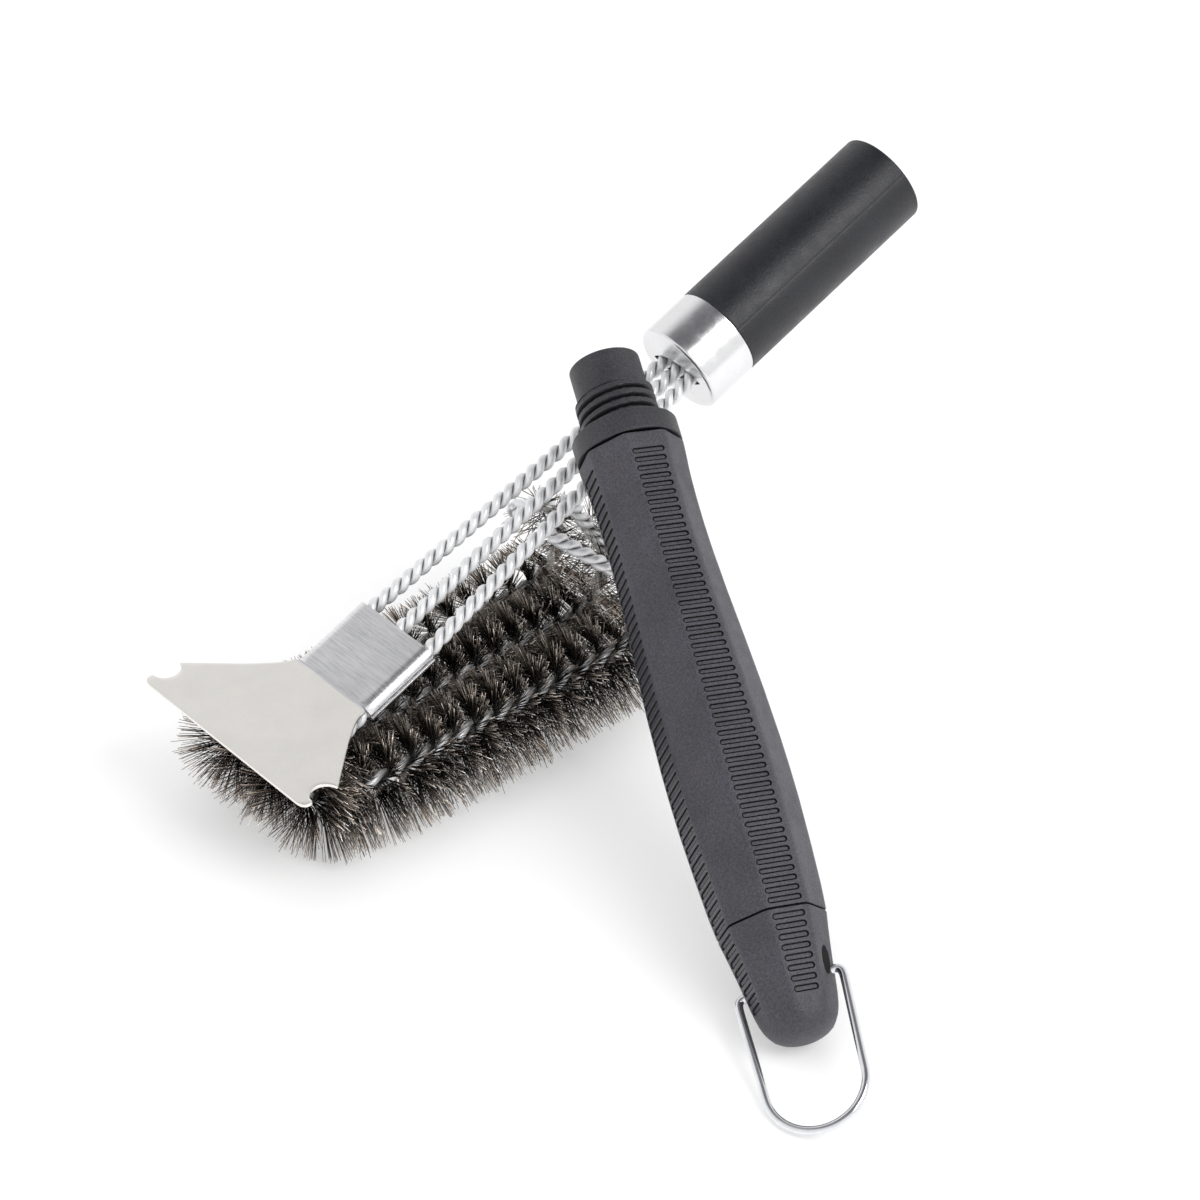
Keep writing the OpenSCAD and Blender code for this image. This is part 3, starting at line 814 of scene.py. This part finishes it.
def ribbed_body(rows_before, cells, rows_after, close_first, close_last):
    """Shell with four pocketed faces and four smooth ones; cells = (start, end, how many).

    Each end closes in through (scale, shift) copies of its outline.
    """
    parts = []
    start, end, count = cells
    edges = np.linspace(start, end, count + 1)
    fine = [float(edges[0])]
    for a, b in zip(edges, edges[1:]):
        fine += [float(a + (b - a) * t) for t in (0.25, 0.5, 0.75, 1)]
    rows = list(rows_before) + fine + list(rows_after)
    height = abs(end - start) / count * POCKET_HALF
    for side in range(4):
        parts.append(grid(np.array([smooth_row(side, s) for s in rows])))
        for plain in (list(rows_before) + [edges[0]], [edges[-1]] + list(rows_after)):
            if len(plain) > 1:
                rows_here = [[face_points(side, s, v) for v in edge_vs(s, height)] for s in plain]
                parts.append(grid(np.array(rows_here)))
        for a, b in zip(edges, edges[1:]):
            parts.append(pocket_cell(side, float(a), float(b)))

    def loop_at(s):
        out = []
        for side in range(4):
            out += [face_points(side, s, v) for v in edge_vs(s, height)][:-1]
            out += list(smooth_row(side, s))[:-1]
        return np.array(out)

    for s, closing in ((rows[0], close_first), (rows[-1], close_last)):
        ring = loop_at(s)
        sheet = [ring]
        for scale, shift in closing:
            moved = ring * np.array([scale, scale, 1])
            moved[:, 2] += shift
            sheet.append(moved)
        parts.append(grid(np.array(sheet), wrap_j=True))
    return parts


# the cap's boss sits in a shallow recess of the grip, so nothing shows through their joint
grip_close = [(0.992, -0.22), (0.975, -0.32), (0.952, -0.32), (0.945, 0.5), (0.02, 0.5)]
grip_parts = ribbed_body([-2.15, -2.9, -4.0, -5.2], (-6.5, SEAM + 0.75, 52), [SEAM + 0.5],
                         [(0.985, 0.2), (0.96, 0.28), (0.8, 0.28)], grip_close)
make("grip_shell", grip_parts, handle, grip_charcoal, "handle", ["grip"], sharp=32, weld=0.02)
cap_rows = [-174, -175.3, -176.6, -177.8, -178.8, -179.6, -180.3, -180.9, -181.4, -181.8, -182.1, -182.35]
cap_open = [(0.992, 0.2), (0.975, 0.3), (0.925, 0.3), (0.92, 0.9), (0.02, 0.9)]
cap_parts = ribbed_body([SEAM - 0.5], (SEAM - 1.0, -172.8, 8), cap_rows, cap_open,
                        [(0.62, -0.14), (0.25, -0.22), (0.02, -0.24)])
cap = make("cap_shell", cap_parts, handle, grip_charcoal, "handle", ["tail_cap"], sharp=32,
           weld=0.02)


def oval_cutter():
    """Oval sinks at both mouths of the loop's cross hole; their walls take the cutter's near-black painted shade.
    """
    parts = []
    for sign in (-1, 1):
        n = 40
        a = np.linspace(0, 2 * math.pi, n, endpoint=False)
        y, z = (2.1 * np.cos(a) - 3.1) * sign, 2.2 + 4.0 * np.sin(a)
        p, f = grid(np.array([np.stack([np.full(n, sign * depth), y, z], -1) for depth in (6.5, 20.0)]),
                    wrap_j=True)
        f += [list(range(n)), list(range(n, 2 * n))[::-1]]
        parts.append((p, f))
    return parts


cut_place = Place(pivot, across, np.cross(grip_dir, across), grip_dir)
cutter = make("cap_cutter", oval_cutter(), cut_place, painted_sink_shade, "handle")
sink = cap.modifiers.new("sinks", "BOOLEAN")
sink.operation, sink.solver, sink.object = "DIFFERENCE", "EXACT", cutter
# the sinks' walls take the cutter's near-black material: painted shade in the recess
sink.material_mode = "TRANSFER"
bpy.context.view_layer.update()
carved = bpy.data.meshes.new_from_object(cap.evaluated_get(bpy.context.evaluated_depsgraph_get()))
cap.modifiers.clear()
cap.data = carved
bpy.data.objects.remove(cutter)


# ---------- hanging loop ----------
LOOP_WIRE_R = 1.25


def loop_path():
    """Half of the loop from inside the cap to the middle of its round end, then mirrored."""
    half = [(6.0, 0, 0.5), (10, 0, 0.25), (13.0, 0, -0.15), (14.0, 0, 0.1), (14.7, 0, 0.9), (14.9, 0, 2.4),
            (14.8, 0, 6), (14.4, 0, 16), (13.9, 0, 28)]
    r = 13.8                                       # of the round end
    half += [(r * math.cos(a), 0, 31.2 + r * math.sin(a)) for a in np.linspace(0.02, math.pi / 2, 14)]
    half = np.array(half)
    other = half[::-1][1:] * np.array([-1, 1, 1])
    whole, _ = resample(np.concatenate([half, other]), 0.25)
    whole = smoothed(whole, 7)
    return resample(whole, 0.6)[0]


make("loop_wire", [tube(loop_path(), LOOP_WIRE_R, 20)], loop, loop_metal, "loop",
     ["hanging_loop"], sharp=60)

# ---------- carried-over CAD pieces ----------
for node, material, slot_name in (("ferrule", polished, "ferrule_steel"),
                                  ("wire_anchor", insert_black, "insert_plastic"),
                                  ("core_tube", insert_black, "insert_plastic"),
                                  ("cap_screw", screw_metal, "screw_steel")):
    obj = frame["nodes"][node]
    obj.data.materials.clear()
    obj.data.materials.append(material)

# ---------- floor, light and camera ----------
floor_mesh = bpy.data.meshes.new("floor")
floor_mesh.from_pydata([(-6, -6, 0), (6, -6, 0), (6, 6, 0), (-6, 6, 0)], [], [(0, 1, 2, 3)])
floor_mat, nodes, links, shader = new_material("floor_white")
clouds = noise(nodes, links, object_coords(nodes, links), 3)
links.new(ramp(nodes, links, clouds, [(0, (0.66, 0.66, 0.66)), (1, (0.68, 0.68, 0.68))]),
          shader.inputs["Base Color"])
shader.inputs["Roughness"].default_value = 0.85
shader.inputs["Emission Color"].default_value = (1, 1, 1, 1)
shader.inputs["Emission Strength"].default_value = 0.36
floor_mesh.materials.append(floor_mat)
floor = bpy.data.objects.new("floor", floor_mesh)
bpy.context.scene.collection.objects.link(floor)

world = bpy.data.worlds.new("studio")
bpy.context.scene.world = world
world.use_nodes = True
# a bright sweep all round and a dimmer ceiling
nodes, links = world.node_tree.nodes, world.node_tree.links
split = nodes.new("ShaderNodeSeparateXYZ")
links.new(nodes.new("ShaderNodeTexCoord").outputs["Generated"], split.inputs["Vector"])
links.new(ramp(nodes, links, split.outputs["Z"],
               [(0.0, (0.95, 0.95, 0.95)), (0.5, (0.98, 0.98, 0.98)), (0.66, (0.86, 0.86, 0.86)),
                (0.78, (0.62, 0.62, 0.63)), (0.87, (0.26, 0.26, 0.27)), (1.0, (0.16, 0.16, 0.17))]),
          nodes["Background"].inputs["Color"])
nodes["Background"].inputs["Strength"].default_value = 1.0


def softbox(name, at, target, size, power, mirrored=True):
    light = bpy.data.lights.new(name, "AREA")
    light.shape, light.size, light.energy = "SQUARE", size, power
    obj = bpy.data.objects.new(name, light)
    obj.location = at
    obj.rotation_euler = (Vector(target) - Vector(at)).to_track_quat("-Z", "Y").to_euler()
    obj.visible_glossy = mirrored
    bpy.context.scene.collection.objects.link(obj)


softbox("key", (0.15, -0.80, 1.0), (0.03, 0, 0.05), 0.66, 7.0)
softbox("top", (-0.15, 0.15, 1.5), (0, 0, 0), 1.4, 7.5, mirrored=False)

camera = bpy.data.cameras.new("camera")
camera.sensor_width, camera.lens = 36, 105.56
camera.clip_start, camera.clip_end = 0.05, 50
eye = bpy.data.objects.new("camera", camera)
at, target = Vector(head((-593.8, -634.9, 668.8))), Vector(head((-13.66, 19.0, 0)))
eye.location = at
eye.rotation_euler = (target - at).to_track_quat("-Z", "Y").to_euler()
bpy.context.scene.collection.objects.link(eye)
bpy.context.scene.camera = eye
bpy.context.scene.view_settings.view_transform = "Standard"
